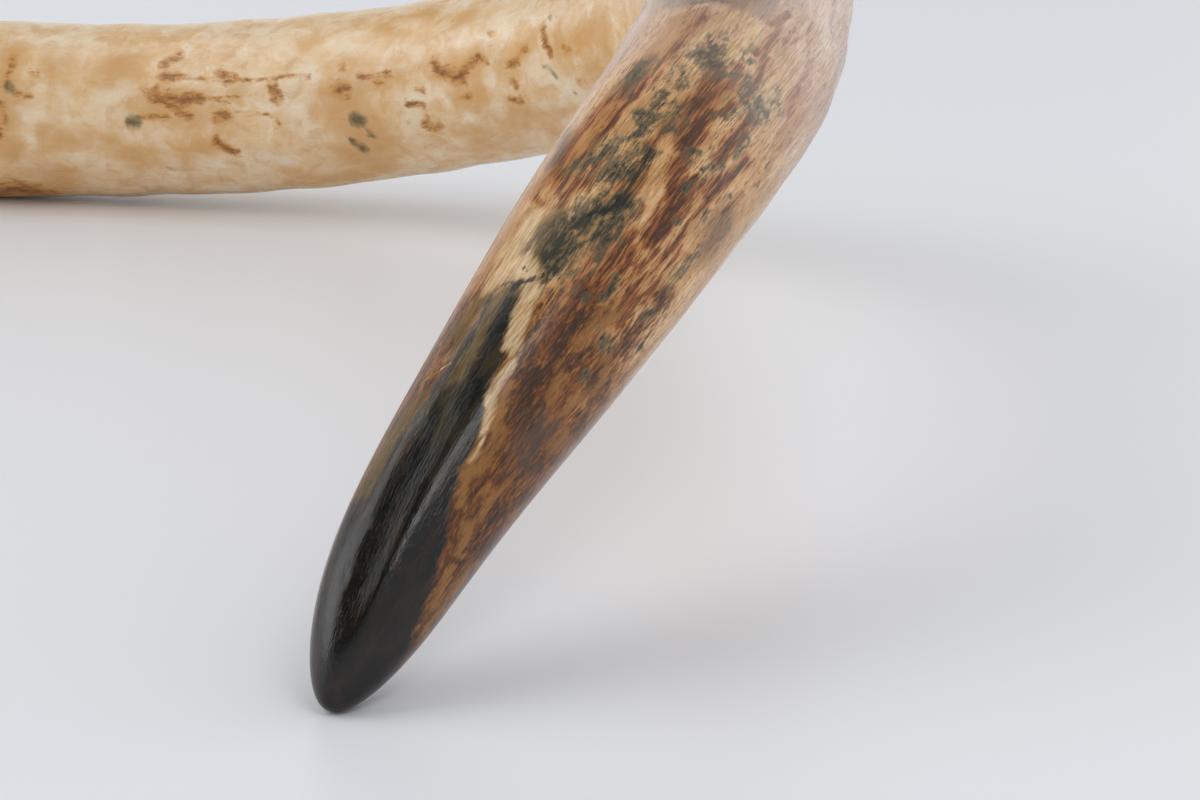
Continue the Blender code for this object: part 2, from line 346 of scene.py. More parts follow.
# Brown marks of the pale arm.
MARKS = (
    (1.3, 0.8, (1084, 178), (1076, 177), (1068, 176)),
    (1.9, 1.1, (1077, 163), (1070, 164), (1060, 166), (1046, 167)),
    (1.1, 0.8, (1046, 167), (1036, 167), (1024, 168)),
    (1.4, 1.0, (1073, 156), (1074, 160)),
    (1.2, 0.9, (1068, 170), (1064, 171), (1052, 178)),
    (1.5, 1.1, (1070, 150), (1066, 151), (1060, 152)),
    (0.8, 0.8, (1060, 152), (1045, 153), (1034, 155)),
    (1.6, 1.1, (1070, 141), (1066, 138), (1063, 136)),
    (1.6, 1.1, (1034, 151), (1030, 154), (1026, 156)),
    (0.8, 0.8, (1024, 157), (1005, 157), (976, 158)),
    (1.8, 1.0, (1038, 180), (1035, 177), (1030, 177)),
    (0.7, 0.7, (1028, 178), (1012, 179), (998, 181)),
    (1.5, 1.2, (1039, 195), (1035, 199), (1030, 203)),
    (1.6, 1.2, (1000, 162), (999, 167), (996, 171)),
    (1.1, 0.7, (997, 187), (1000, 188)),
    (2.4, 1.0, (960, 169), (955, 171)),
    (1.4, 0.9, (958, 155), (955, 156)),
    (1.0, 0.9, (946, 162), (936, 164), (924, 164)),
    (0.9, 0.7, (934, 170), (922, 167)),
    (1.1, 1.0, (916, 187), (908, 188), (902, 188)),
    (1.6, 1.0, (898, 205), (904, 207), (909, 202)),
    (1.0, 0.7, (905, 200), (905, 194)),
    (1.5, 0.8, (906, 178), (902, 178)),
    (2.0, 1.2, (892, 165), (889, 170), (883, 174), (872, 176)),
    (1.7, 1.0, (872, 176), (868, 171), (858, 168)),
    (1.4, 0.9, (858, 168), (850, 173)),
    (1.2, 0.7, (880, 189), (868, 190)),
    (1.3, 0.9, (840, 200), (831, 202)),
    (1.3, 0.8, (834, 188), (832, 193)),
    (1.6, 0.8, (835, 176), (826, 178)),
    (1.4, 0.8, (820, 173), (815, 174)),
    (1.8, 1.0, (800, 163), (799, 170), (796, 180)),
    (1.2, 0.7, (846, 155), (850, 154)),
    (1.3, 0.6, (782, 180), (776, 183)),
    (1.3, 0.6, (780, 205), (772, 206)),
    (1.2, 0.9, (1158, 161), (1148, 163)),
    (1.6, 0.8, (1163, 150), (1162, 144), (1162, 136)),
    (1.4, 0.7, (1151, 147), (1148, 148)),
    (1.3, 0.8, (1167, 166), (1165, 180), (1168, 188)),
    (5.0, 1.0, (1156, 238), (1172, 236), (1186, 240)),
    (1.8, 0.8, (1300, 120), (1325, 123), (1350, 122)),
    (1.6, 0.9, (1410, 60), (1412, 70)),
    (1.8, 0.9, (1520, 150), (1550, 153), (1580, 151)),
    (1.6, 0.9, (1240, 20), (1262, 24)),
    (1.8, 0.9, (930, 20), (950, 26), (970, 24)),
    (1.6, 0.9, (1100, 330), (1130, 333)),
    (1.4, 0.9, (640, 80), (655, 84), (668, 82)),
    (1.6, 0.9, (700, 40), (704, 52)),
)
# Dark spots among them.
SPOTS = (
    (1.8, 1.4, (1089, 180), (1086, 180)),
    (1.6, 1.3, (954, 211), (953, 213)),
    (1.3, 1.1, (957, 203), (956, 206)),
    (1.3, 1.0, (946, 202), (944, 204)),
    (1.8, 1.3, (952, 190), (949, 192)),
    (1.3, 0.7, (799, 191), (796, 195)),
    (1.1, 0.6, (804, 186), (801, 188)),
    (1.2, 0.6, (795, 157), (792, 160)),
    (1.3, 0.5, (790, 209), (788, 210)),
    (2.0, 1.0, (1163, 156), (1161, 158)),
    (1.2, 0.6, (1073, 214), (1070, 216)),
)
# Soft honey clouds of the pale arm.
HONEY = (
    (8.0, 0.8, (1112, 142), (1090, 144)),
    (7.0, 0.8, (1142, 138), (1126, 144)),
    (8.0, 1.1, (1166, 146), (1164, 170), (1163, 192)),
    (6.0, 0.8, (1146, 188), (1120, 188), (1104, 190)),
    (7.0, 0.7, (1092, 200), (1060, 202), (1042, 198)),
    (7.0, 0.9, (1078, 168), (1052, 172), (1036, 176)),
    (9.0, 1.3, (956, 176), (953, 196), (950, 216)),
    (6.0, 0.8, (944, 164), (922, 166)),
    (6.0, 0.9, (892, 166), (876, 174), (856, 170)),
    (6.0, 0.7, (884, 190), (862, 190)),
    (9.0, 0.8, (826, 226), (834, 214)),
    (8.0, 0.7, (880, 222), (858, 226)),
    (9.0, 0.8, (786, 182), (760, 190), (740, 186)),
    (6.0, 0.7, (836, 178), (816, 176)),
    (5.0, 0.7, (876, 138), (870, 136)),
    (7.0, 0.6, (910, 118), (902, 124)),
    (4.0, 0.7, (980, 134), (974, 130)),
    (8.0, 0.7, (1000, 234), (970, 240)),
    (5.0, 0.8, (936, 130), (920, 134)),
    (12.0, 0.9, (1186, 240), (1156, 238), (1144, 226)),
    (20.0, 0.7, (1300, 60), (1360, 70)),
    (22.0, 0.8, (1500, 150), (1580, 160)),
    (22.0, 0.9, (1780, 40), (1830, 60)),
    (22.0, 0.9, (1760, 200), (1830, 220)),
    (20.0, 0.7, (600, 320), (700, 330)),
)

STAINS = {
    "cream": CREAM,
    "orange": ORANGE,
    "olive": OLIVE,
    "green": GREEN,
    "red": RED,
    "line": LINES,
    "tan": TAN,
    "grey": GREY,
    "mark": MARKS,
    "spot": SPOTS,
    "honey": HONEY,
    "dark": (),
    "brown": BROWN,
}
# Kinds drawn narrower or fainter than they are typed.
NARROWED = {"cream": 0.64, "tan": 0.72, "red": 0.80}
FAINTER = {"tan": 0.25}
# How high a stain's field stands, and in how many half widths it falls by 1.
FIELD_HEIGHT = 0.75
FIELD_FALL = 2.2
NO_STAIN = -1.2
# The side of the lower arm that faces away, in degrees around.
HIDDEN_SIDE = 245.0
# Stains strewn over the far sides: the draw's seed, how many, and the share of marks.
STREWN_SEED = 23
STREWN_COUNT = 64
STREWN_MARKS = 0.72

# How each kind of stain is drawn.
# First the noise that tears it into patches: length, width, detail, roughness, wander, seed.
# Then how strongly patches tear it, which strands fray it, how strongly, and its softness.
# Then the strength and tint of its glow, its body and its core.
DRAWN = {
    "honey": (
        (0.020, 0.012, 3.0, 0.50, 0.3, 31.0),
        (2.2, "hairs", 0.2, 0.55),
        (0.60, 0.68, 0.37, 0.12),
        (0.35, 0.55, 0.27, 0.075),
    ),
    "mark": (
        (0.007, 0.0032, 5.0, 0.62, 0.6, 41.0),
        (3.4, "dashes", 0.6, 0.42),
        (0.55, 0.50, 0.215, 0.042),
        (0.60, 0.31, 0.110, 0.018),
        (0.55, 0.11, 0.036, 0.008),
    ),
    "spot": (
        (0.005, 0.0036, 4.0, 0.55, 0.5, 45.0),
        (1.0, "dashes", 0.3, 0.45),
        (0.55, 0.30, 0.21, 0.08),
        (0.72, 0.052, 0.036, 0.014),
    ),
    "orange": (
        (0.022, 0.0050, 5.0, 0.6, 0.4, 48.0),
        (2.4, "hairs", 1.2, 0.40),
        (0.75, 0.43, 0.190, 0.048),
    ),
    "red": (
        (0.026, 0.0019, 6.0, 0.68, 0.25, 51.0),
        (2.6, "hairs", 3.2, 0.19),
        (0.66, 0.50, 0.158, 0.019),
        (0.80, 0.185, 0.040, 0.007),
        (0.85, 0.045, 0.015, 0.007),
    ),
    "brown": (
        (0.0088, 0.0022, 6.0, 0.70, 0.5, 61.0),
        (3.0, "dashes", 2.4, 0.30),
        (0.68, 0.290, 0.090, 0.009),
        (0.80, 0.100, 0.028, 0.005),
        (0.80, 0.026, 0.012, 0.005),
    ),
    "grey": (
        (0.020, 0.0050, 5.0, 0.6, 0.4, 63.0),
        (2.0, "hairs", 1.6, 0.35),
        (0.50, 0.145, 0.075, 0.045),
        (0.40, 0.070, 0.045, 0.032),
    ),
    "tan": (
        (0.010, 0.0025, 5.0, 0.6, 0.5, 65.0),
        (2.2, "dashes", 2.6, 0.25),
        (0.50, 0.22, 0.085, 0.018),
        (0.70, 0.34, 0.155, 0.036),
    ),
    "green": (
        (0.0060, 0.0026, 6.0, 0.68, 0.7, 81.0),
        (3.2, "dashes", 1.8, 0.22),
        (0.50, 0.175, 0.138, 0.068),
        (0.68, 0.058, 0.060, 0.034),
        (0.80, 0.014, 0.016, 0.010),
    ),
    "dark": (
        (0.022, 0.0030, 6.0, 0.62, 0.5, 101.0),
        (2.4, "hairs", 1.8, 0.25),
        (0.70, 0.045, 0.021, 0.008),
    ),
    "olive": (
        (0.014, 0.0020, 5.0, 0.6, 0.4, 71.0),
        (2.4, "hairs", 2.0, 0.30),
        (0.55, 0.100, 0.055, 0.012),
        (0.45, 0.200, 0.125, 0.024),
    ),
    "cream": (
        (0.014, 0.0026, 5.0, 0.62, 0.4, 91.0),
        (2.4, "hairs", 1.0, 0.42),
        (0.50, 0.64, 0.40, 0.16),
    ),
    "line": (
        (0.010, 0.0018, 5.0, 0.6, 0.5, 111.0),
        (1.6, "dashes", 1.2, 0.30),
    ),
}

# How far the fibres wind around the tusk, in radians a metre.
FIBRE_WINDING = 0.4
# The saw cut's growth rings, in radians a metre outwards, and its crossing lines,
# in radians for each radian around and for each metre outwards.
RINGS_OUTWARDS = 3600.0
CROSSING_AROUND = 60.0
CROSSING_OUTWARDS = 2400.0

# Brighter and dimmer stretches of the studio's walls: the way they lie, where
# their edge starts and ends, how fully they cover, and their tint.
STRETCHES = (
    # a bright wall on the left
    ((-0.98, 0.05, 0.20), 0.80, 0.97, 1.0, (1.10, 1.12, 1.16)),
    # a dark corner overhead, in front on the left
    ((-0.43, -0.39, 0.81), 0.84, 0.97, 0.90, (0.04, 0.04, 0.04)),
    # a bright wall behind on the right
    ((0.66, 0.70, 0.28), 0.82, 0.95, 1.0, (1.38, 1.39, 1.42)),
    # a dim gap behind on the left
    ((-0.56, 0.62, 0.55), 0.87, 0.97, 0.75, (0.15, 0.15, 0.155)),
)

# The mesh: points around, and the rings of the sawn end.
SIDES = 108
RIM_STEPS = (0.25, 0.5, 0.75, 1.0)
CUT_RINGS = 8
HOLLOW_RINGS = 26
SHARP_EDGE = 50.0
# Where the flat map cuts the length into strips. The sawn end takes one more row.
MAP_CUTS = (0.0, 0.26, 0.62, 1.18)
END_ROW = len(MAP_CUTS)
MAP_MARGIN = 0.01
ROW_MARGIN = 0.03
# The three materials, by place.
IVORY = 0
SAWN = 1
HOLLOW = 2


def spline(knots, values, where):
    """Smooth curve through values at knots, with free ends, read at where."""
    x = np.asarray(knots, float)
    y = np.asarray(values, float)
    if y.ndim == 1:
        y = y[:, None]
    n = len(x)
    h = np.diff(x)
    slope = np.diff(y, axis=0) / h[:, None]
    system = np.eye(n)
    right = np.zeros_like(y)
    for i in range(1, n - 1):
        system[i, i - 1] = h[i - 1]
        system[i, i] = 2.0 * (h[i - 1] + h[i])
        system[i, i + 1] = h[i]
        right[i] = 6.0 * (slope[i] - slope[i - 1])
    bend = np.linalg.solve(system, right)
    s = np.atleast_1d(np.asarray(where, float))
    k = np.clip(np.searchsorted(x, s) - 1, 0, n - 2)
    a = ((x[k + 1] - s) / h[k])[:, None]
    b = 1.0 - a
    curve = a * y[k] + b * y[k + 1]
    curve += ((a ** 3 - a) * bend[k] + (b ** 3 - b) * bend[k + 1]) * (h[k] ** 2)[:, None] / 6.0
    return curve


def route_knots():
    points = np.array(ROUTE)
    steps = np.linalg.norm(np.diff(points, axis=0), axis=1)
    return np.concatenate(([0.0], np.cumsum(steps))), points


def tusk_length():
    return route_knots()[0][-1]


def frame_at(s):
    """Middle point, outer side and upper side at distances s from the tip."""
    knots, points = route_knots()
    middle = spline(knots, points, s)
    ahead = spline(knots, points, np.asarray(s) + 1e-4) - spline(knots, points, np.asarray(s) - 1e-4)
    ahead /= np.linalg.norm(ahead, axis=1)[:, None]
    outer = np.cross(ahead, np.array((0.0, 0.0, 1.0)))
    outer /= np.linalg.norm(outer, axis=1)[:, None]
    return middle, outer, np.cross(outer, ahead)


def thickness(s):
    table = np.array(THICKNESS)
    return spline(np.sqrt(table[:, 0]), table[:, 1], np.sqrt(s))[:, 0]


def ease(value, low, high):
    t = np.clip((value - low) / (high - low), 0.0, 1.0)
    return t * t * (3.0 - 2.0 * t)


def wrap(angle):
    return (angle + math.pi) % (2.0 * math.pi) - math.pi


def relief(s, turn):
    """Height of the low forms above the plain section, in metres."""
    height = np.zeros(np.broadcast(s, turn).shape)
    grown = ease(s, 0.10, 0.45)
    for depth, pitch, phase in SWELLS:
        height += grown * depth * np.sin(2.0 * math.pi * s / pitch + phase + 0.35 * np.sin(turn))
    winding = FLUTES * turn + FLUTE_TURN * s + 0.8 * np.sin(2.0 * turn)
    height += FLUTE_DEPTH * ease(s, 0.25, 0.80) * np.sin(winding)
    for middle, half, start, end, depth in FLATS:
        off = wrap(turn - math.radians(middle))
        across = np.clip(1.0 - (off / math.radians(half)) ** 2, 0.0, 1.0)
        along = ease(s, start, start + 0.03) * (1.0 - ease(s, end - 0.07, end))
        height -= depth * along * across ** 1.2
    return height


def path_distance(s, turn, radius, points):
    """Distance over the surface from each point to a path around and along the tusk."""
    nearest = np.full(s.shape, 9.0)
    corners = [(a, math.radians(d)) for a, d in points]
    for (s0, t0), (s1, t1) in zip(corners, corners[1:]):
        ax = s0 - s
        ay = wrap(t0 - turn) * radius
        bx = s1 - s0
        by = wrap(t1 - t0) * radius
        part = np.clip(-(ax * bx + ay * by) / (bx * bx + by * by + 1e-12), 0.0, 1.0)
        nearest = np.minimum(nearest, np.hypot(ax + part * bx, ay + part * by))
    return nearest


def fine_relief(s, turn, radius):
    """Dents, worn spots, cracks and their lip, in metres."""
    height = np.zeros(s.shape)
    for at, degrees, length, width, depth, lean in DENTS:
        x = s - at
        y = wrap(turn - math.radians(degrees)) * radius
        c = math.cos(math.radians(lean))
        n = math.sin(math.radians(lean))
        far = ((x * c + y * n) / length) ** 2 + ((y * c - x * n) / width) ** 2
        height -= depth * np.exp(-0.7 * far ** 1.4)
    for rise, half, points in LIPS:
        height += rise * np.exp(-(path_distance(s, turn, radius, points) / half) ** 2)
    return height


def dark_zone(s, degrees):
    """Over 0 inside the polished dark zone, which covers the tip and one side above it."""
    at = (0.0, 0.018, 0.030, 0.045, 0.060, 0.070, 0.080, 0.090, 0.107, 0.112, 0.125, 0.138, 0.152)
    low = np.interp(s, at, (-90, -34, 4, 16, 27, 38, 43, 47, 54, 59, 65, 73, 80))
    at = (0.0, 0.045, 0.065, 0.080, 0.100, 0.125, 0.145, 0.152)
    high = np.interp(s, at, (300, 230, 128, 116, 99, 94, 90, 82))
    around = (degrees + 120.0) % 360.0 - 120.0
    inside = np.minimum((around - low) / 10.0, (high - around) / 8.0)
    tip = 1.5 - s / 0.014
    return np.clip(np.maximum(np.minimum(inside, (0.153 - s) / 0.006), tip), -1.0, 1.0)


def ring_distances():
    near = np.linspace(0.012, math.sqrt(0.06), 90) ** 2
    front = np.arange(0.06, 0.42, 0.00125)[1:]
    bend = np.arange(0.42, 0.80, 0.0022)
    back = np.linspace(0.80, tusk_length() - RIM_WEAR, 287)
    return np.concatenate((near, front, bend, back))


def end_rings(last, turn):
    """The sawn end's rings: distance from the tip, radius around, and the surface each ends."""
    length = tusk_length()
    rings = []
    # The worn rim rolls into the flat saw cut, which runs in to the hollow's mouth.
    for part in RIM_STEPS:
        angle = part * math.pi / 2.0
        worn = last - RIM_WEAR * (1.0 - math.cos(angle))
        rings.append((length - RIM_WEAR + RIM_WEAR * math.sin(angle), worn, IVORY))
    edge = rings[-1][1]
    for part in np.linspace(0.0, 1.0, CUT_RINGS + 1)[1:]:
        rings.append((length, edge + (HOLLOW_MOUTH + MOUTH_EDGE - edge) * part, SAWN))
    for part in np.linspace(0.0, 0.985, HOLLOW_RINGS):
        ripple = 1.0 + 0.012 * np.sin(5.0 * turn + 9.0 * part) + 0.008 * np.sin(11.0 * turn - 4.0 * part)
        wall = HOLLOW_MOUTH * (1.0 - part) ** 0.85 * ripple
        rings.append((length - MOUTH_EDGE - (HOLLOW_DEPTH - 0.001) * part, wall, HOLLOW))
    return rings


def tusk_rings():
    """Each ring's distance from the tip, its turns and radii, and the surface it ends."""
    turn = np.arange(SIDES) * 2.0 * math.pi / SIDES
    s = ring_distances()
    around = np.broadcast_to(turn, (len(s), SIDES))
    along = np.broadcast_to(s[:, None], (len(s), SIDES))
    plain = thickness(s)[:, None] * (1.0 + OVAL * np.cos(2.0 * around))
    radius = plain + relief(along, around) * ease(along, 0.0, 0.02)
    radius = radius + fine_relief(along, around, plain) * ease(along, 0.0, 0.01)
    at, reach, surface = zip(*end_rings(radius[-1], turn))
    surface = (IVORY,) * len(s) + surface
    s = np.concatenate((s, at))
    return s, np.broadcast_to(turn, (len(s), SIDES)), np.concatenate((radius, reach)), surface


def wander(s, turn, radius):
    """Moves places a little to and fro, so that drawn paths waver."""
    along = 0.0009 * np.sin(5.0 * turn + 210.0 * s) + 0.0005 * np.sin(11.0 * turn - 390.0 * s)
    aside = 0.0006 * np.sin(190.0 * s + 3.0 * turn) + 0.0003 * np.sin(450.0 * s - 2.0 * turn)
    return s + along, turn + aside / np.maximum(radius, 0.006)


def far_side_stains():
    """Marks and honey clouds strewn over the sides of the pale part that face away."""
    chance = np.random.default_rng(STREWN_SEED)
    strewn = []
    for _ in range(STREWN_COUNT):
        kind = "mark" if chance.random() < STREWN_MARKS else "honey"
        along = chance.uniform(480.0, 1800.0)
        around = chance.uniform(-88.0, 108.0)
        length = chance.uniform(4.0, 26.0)
        half = chance.uniform(0.9, 2.2) if kind == "mark" else chance.uniform(6.0, 16.0)
        bend = chance.uniform(-5.0, 5.0, 2)
        middle = (along + length * 0.5, around + bend[0])
        end = (along + length, around + bend[1])
        strewn.append((kind, half, chance.uniform(0.35, 1.0), (along, around), middle, end))
    return strewn


def stain_fields(s, turn, radius):
    """Each stain kind's strength at every point: highest in its middle, 0 at its edge."""
    fields = {kind: np.full(s.shape, -1.0) for kind in STAINS}
    near_s, near_turn = wander(s, turn, radius)
    typed = [(kind, *stain) for kind, stains in STAINS.items() for stain in stains]
    for kind, half, strength, *points in typed + far_side_stains():
        half = half * NARROWED.get(kind, 1.0) / 1000.0
        points = [(along / 1000.0, degrees) for along, degrees in points]
        first = min(p[0] for p in points) - 3.0 * half
        last = max(p[0] for p in points) + 3.0 * half
        near = (s > first) & (s < last)
        away = path_distance(near_s[near], near_turn[near], radius[near], points)
        value = (strength - FAINTER.get(kind, 0.0)) * FIELD_HEIGHT - away / (half * FIELD_FALL)
        fields[kind][near] = np.maximum(fields[kind][near], value)
    fields["dark"] = dark_zone(s, np.degrees(turn)) + 0.15
    for kind, level in stain_levels(s, turn).items():
        fields[kind] = np.maximum(fields[kind], level)
    return fields


def stain_levels(s, turn):
    """How strong a stain is even away from its paths, where the tusk is stained all over."""
    hidden = ease(np.cos(turn - math.radians(HIDDEN_SIDE)), 0.1, 0.7)
    lower = 1.0 - ease(s, 0.13, 0.21)
    between = ease(s, 0.13, 0.19) * (1.0 - ease(s, 0.32, 0.60))
    mottle = -1.6 + 2.30 * lower - 0.30 * ease(s, 0.05, 0.11)
    mottle += 0.9 * hidden * (1.0 - ease(s, 0.14, 0.30))
    return {
        "brown": mottle,
        "red": -1.7 + (1.24 + 0.22 * hidden) * between,
        "green": -1.5 + 1.00 * between,
        "orange": -0.40 - 1.3 * ease(s, 0.30, 0.60),
    }


def tusk_faces(rings):
    """Four-sided faces between the rings, then fans that close the tip and the hollow."""
    k = np.arange(SIDES)
    n = (k + 1) % SIDES
    starts = range(0, (rings - 1) * SIDES, SIDES)
    faces = [np.stack((a + SIDES + k, a + SIDES + n, a + n, a + k), -1) for a in starts]
    faces = np.concatenate(faces).tolist()
    tip = rings * SIDES
    last = tip - SIDES
    for k in range(SIDES):
        n = (k + 1) % SIDES
        faces.append((tip, k, n))
        faces.append((tip + 1, last + n, last + k))
    return faces


def build_tusk():
    s, turn, radius, surface = tusk_rings()
    middle, outer, upper = frame_at(s)
    side = outer[:, None, :] * np.cos(turn)[..., None] + upper[:, None, :] * np.sin(turn)[..., None]
    points = (middle[:, None, :] + side * radius[..., None]).reshape(-1, 3)
    inner_end = tusk_length() - HOLLOW_DEPTH
    ends = np.array((frame_at([0.0])[0][0], frame_at([inner_end])[0][0]))
    mesh = bpy.data.meshes.new("tusk_ivory")
    mesh.from_pydata(np.concatenate((points, ends)).tolist(), [], tusk_faces(len(s)))
    slots = np.repeat(np.array(surface[1:]), SIDES).tolist() + [IVORY, HOLLOW] * SIDES
    mesh.polygons.foreach_set("material_index", slots)

    rings = len(s)
    s = np.repeat(s, SIDES)
    turn = turn.ravel()
    radius = radius.ravel()
    for kind, values in stain_fields(s, turn, radius).items():
        layer = mesh.attributes.new(kind, "FLOAT", "POINT")
        values = np.concatenate((values, (values[0], NO_STAIN)))
        layer.data.foreach_set("value", values.astype(np.float32))
    straight = np.stack((s, radius * np.cos(turn), radius * np.sin(turn)), -1)
    straight = np.concatenate((straight, ((0.0, 0.0, 0.0), (inner_end, 0.0, 0.0))))
    layer = mesh.attributes.new("straight", "FLOAT_VECTOR", "POINT")
    layer.data.foreach_set("vector", straight.astype(np.float32).ravel())
    lay_out_map(mesh, np.append(s, (0.0, inner_end)), np.append(turn, (0.0, 0.0)), rings)
    mesh.shade_smooth()
    mesh.set_sharp_from_angle(angle=math.radians(SHARP_EDGE))
    mesh.validate()
    tusk = bpy.data.objects.new("tusk_ivory", mesh)
    bpy.context.scene.collection.objects.link(tusk)
    return tusk


def of_each_face(pick, values, face, start):
    """The lowest or highest of each face's values, picked by numpy's minimum or maximum."""
    found = np.full(face[-1] + 1, start)
    pick.at(found, face, values)
    return found


def lay_out_map(mesh, s, turn, rings):
    """A flat map: strips of the length one above the other, then the sawn end."""
    cuts = np.array((*MAP_CUTS, tusk_length() + 0.001))
    vertex = np.empty(len(mesh.loops), np.int32)
    mesh.loops.foreach_get("vertex_index", vertex)
    totals = np.empty(len(mesh.polygons), np.int32)
    mesh.polygons.foreach_get("loop_total", totals)
    face = np.repeat(np.arange(len(totals)), totals)
    ring = np.append(np.repeat(np.arange(rings), SIDES), (0, rings - 1))
    low_ring = of_each_face(np.minimum, ring[vertex], face, 10 ** 6)
    low_s = s[np.clip(low_ring * SIDES, 0, rings * SIDES - 1)]
    strip = np.clip(np.searchsorted(cuts, low_s + 1e-6) - 1, 0, END_ROW - 1)[face]

    # A face that crosses the seam keeps all its corners on one side of it.
    t = turn[vertex] / (2.0 * math.pi)
    width = of_each_face(np.maximum, t, face, 0.0) - of_each_face(np.minimum, t, face, 2.0)
    t = np.where((width > 0.5)[face] & (t < 0.5), t + 1.0, t)
    apex = vertex >= rings * SIDES
    highest = of_each_face(np.maximum, np.where(apex, 0.0, t), face, 0.0)
    t = np.where(apex, highest[face] - 0.5 / SIDES, t)

    end = CUT_RINGS + HOLLOW_RINGS + 2
    outside = (low_ring <= rings - end)[face]
    part = (s[vertex] - cuts[strip]) / (cuts[strip + 1] - cuts[strip])
    part = np.where(outside, part, (ring[vertex] - (rings - end)) / end)
    u = MAP_MARGIN + (1.0 - 2.0 * MAP_MARGIN) * np.clip(part, 0.0, 1.0)
    row = np.where(outside, strip, END_ROW)
    v = (row + ROW_MARGIN + (1.0 - 2.0 * ROW_MARGIN) * t) / (END_ROW + 1)
    layer = mesh.uv_layers.new(name="OFBake")
    layer.data.foreach_set("uv", np.stack((u, v), -1).astype(np.float32).ravel())


class Wires:
    """Adds nodes to a tree and joins them."""

    def __init__(self, tree):
        self.tree = tree

    def put(self, socket, value):
        if isinstance(value, bpy.types.NodeSocket):
            self.tree.links.new(value, socket)
        else:
            socket.default_value = value

    def add(self, kind, sockets=None, **settings):
        node = self.tree.nodes.new(kind)
        for name, value in settings.items():
            setattr(node, name, value)
        for name, value in (sockets or {}).items():
            self.put(node.inputs[name], value)
        return node

    def math(self, operation, a, b=0.0):
        return self.add("ShaderNodeMath", {0: a, 1: b}, operation=operation).outputs[0]

    def times(self, a, b):
        return self.math("MULTIPLY", a, b)

    def vector(self, operation, a, b=(0.0, 0.0, 0.0), result="Vector"):
        return self.add("ShaderNodeVectorMath", {0: a, 1: b}, operation=operation).outputs[result]

    def step(self, value, low, high, start=0.0, end=1.0):
        sockets = {"Value": value, "From Min": low, "From Max": high, "To Min": start, "To Max": end}
        node = self.add("ShaderNodeMapRange", sockets, interpolation_type="SMOOTHSTEP")
        return node.outputs["Result"]

    def blend(self, amount, under, over, mode="MIX"):
        node = self.add("ShaderNodeMix", {0: amount, 6: under, 7: over}, data_type="RGBA", blend_type=mode)
        return node.outputs[2]

    def between(self, amount, first, second):
        return self.add("ShaderNodeMix", {0: amount, 2: first, 3: second}, data_type="FLOAT").outputs[0]

    def group(self, tree, sockets):
        node = self.add("ShaderNodeGroup", node_tree=tree)
        for name, value in sockets.items():
            self.put(node.inputs[name], value)
        return node.outputs

    def value_of(self, name):
        return self.add("ShaderNodeAttribute", attribute_name=name).outputs["Fac"]

    def place_of(self, name):
        return self.add("ShaderNodeAttribute", attribute_name=name).outputs["Vector"]

    def bump(self, height, strength):
        sockets = {"Strength": strength, "Distance": 1.0, "Height": height}
        return self.add("ShaderNodeBump", sockets).outputs[0]


def new_group(name, inputs, outputs):
    tree = bpy.data.node_groups.new(name, "ShaderNodeTree")
    for label, kind, default in inputs:
        socket = tree.interface.new_socket(label, in_out="INPUT", socket_type=kind)
        if default is not None:
            socket.default_value = default
    for label in outputs:
        tree.interface.new_socket(label, in_out="OUTPUT", socket_type="NodeSocketFloat")
    wires = Wires(tree)
    return tree, wires, wires.add("NodeGroupInput").outputs, wires.add("NodeGroupOutput").inputs


def make_fibre_group():
    """Noise drawn out along the tusk: Length and Width are its spots' size in metres."""
    inputs = (
        ("Place", "NodeSocketVector", None),
        ("Length", "NodeSocketFloat", 0.05),
        ("Width", "NodeSocketFloat", 0.003),
        ("Detail", "NodeSocketFloat", 4.0),
        ("Roughness", "NodeSocketFloat", 0.55),
        ("Wander", "NodeSocketFloat", 0.0),
        ("Seed", "NodeSocketFloat", 0.0),
    )
    tree, w, start, end = new_group("fibre noise", inputs, ("Amount",))
    along = w.math("DIVIDE", 1.0, start["Length"])
    across = w.math("DIVIDE", 1.0, start["Width"])
    size = w.add("ShaderNodeCombineXYZ", {"X": along, "Y": across, "Z": across}).outputs[0]
    shift = w.add("ShaderNodeCombineXYZ", {"X": start["Seed"]}).outputs[0]
    sockets = {
        "Vector": w.vector("ADD", w.vector("MULTIPLY", start["Place"], size), shift),
        "Scale": 1.0,
        "Detail": start["Detail"],
        "Roughness": start["Roughness"],
        "Distortion": start["Wander"],
    }
    w.put(end["Amount"], w.add("ShaderNodeTexNoise", sockets).outputs["Fac"])
    return tree


def make_ragged_group():
    """Turns a soft field into a stain: a wide glow, its body and a dense core."""
    inputs = (
        ("Field", "NodeSocketFloat", 0.0),
        ("Patches", "NodeSocketFloat", 0.5),
        ("Hairs", "NodeSocketFloat", 0.5),
        ("Patchiness", "NodeSocketFloat", 1.0),
        ("Hairiness", "NodeSocketFloat", 1.0),
        ("Softness", "NodeSocketFloat", 0.1),
    )
    middles = {"Glow": 0.0, "Body": 0.30, "Core": 0.70}
    tree, w, start, end = new_group("ragged stain", inputs, middles)
    patches = w.times(w.math("SUBTRACT", start["Patches"], 0.5), start["Patchiness"])
    hairs = w.times(w.math("SUBTRACT", start["Hairs"], 0.5), start["Hairiness"])
    level = w.math("ADD", start["Field"], w.math("ADD", patches, hairs))
    soft = start["Softness"]
    for name, middle in middles.items():
        w.put(end[name], w.step(level, w.math("SUBTRACT", middle, soft), w.math("ADD", middle, soft)))
    return tree


def colour(red, green, blue):
    return (red, green, blue, 1.0)


def new_material(name):
    material = bpy.data.materials.new(name)
    material.use_nodes = True
    return material, material.node_tree.nodes["Principled BSDF"].inputs


